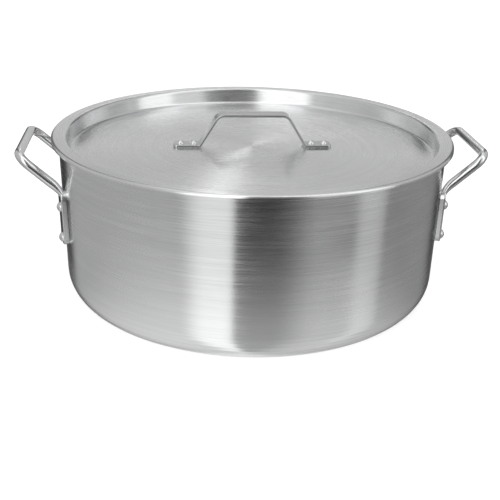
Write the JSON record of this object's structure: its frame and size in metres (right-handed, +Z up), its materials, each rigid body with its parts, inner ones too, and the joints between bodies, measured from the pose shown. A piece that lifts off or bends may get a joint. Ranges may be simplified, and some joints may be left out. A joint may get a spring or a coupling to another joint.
{
  "type": "brew kettle",
  "caption": "Low, wide spun-aluminium brew kettle with riveted rod side handles and a recessed lift-off lid with a riveted strap handle.",
  "frame": {"origin": "centre of the flat base, on the surface the kettle stands on", "axes": "+X towards the right side handle, +Y towards the back, +Z up"},
  "size_m": [0.4886, 0.4228, 0.195],
  "materials": {
    "kettle_aluminium": "satin, fine lines brushed round the wall",
    "lid_aluminium": "satin, fine spun rings",
    "rod_aluminium": "tumbled, semi-bright",
    "strap_aluminium": "semi-bright",
    "rivet_aluminium": "pressed, bright"
  },
  "bodies": {
    "kettle": {"kettle_body": "kettle_aluminium", "left_side_handle": "rod_aluminium", "right_side_handle": "rod_aluminium", "left_handle_rivet_front_upper": "rivet_aluminium", "left_handle_rivet_front_lower": "rivet_aluminium", "left_handle_rivet_back_upper": "rivet_aluminium", "left_handle_rivet_back_lower": "rivet_aluminium", "right_handle_rivet_front_upper": "rivet_aluminium", "right_handle_rivet_front_lower": "rivet_aluminium", "right_handle_rivet_back_upper": "rivet_aluminium", "right_handle_rivet_back_lower": "rivet_aluminium"},
    "lid": {"lid": "lid_aluminium", "lid_handle": "strap_aluminium", "lid_rivet_left_inner": "rivet_aluminium", "lid_rivet_left_outer": "rivet_aluminium", "lid_rivet_right_inner": "rivet_aluminium", "lid_rivet_right_outer": "rivet_aluminium"}
  },
  "joints": [
    {"name": "lid_lift", "type": "slide", "parent": "kettle", "child": "lid", "axis": [0, 0, 1], "range_m": [0, 0.25]}
  ]
}
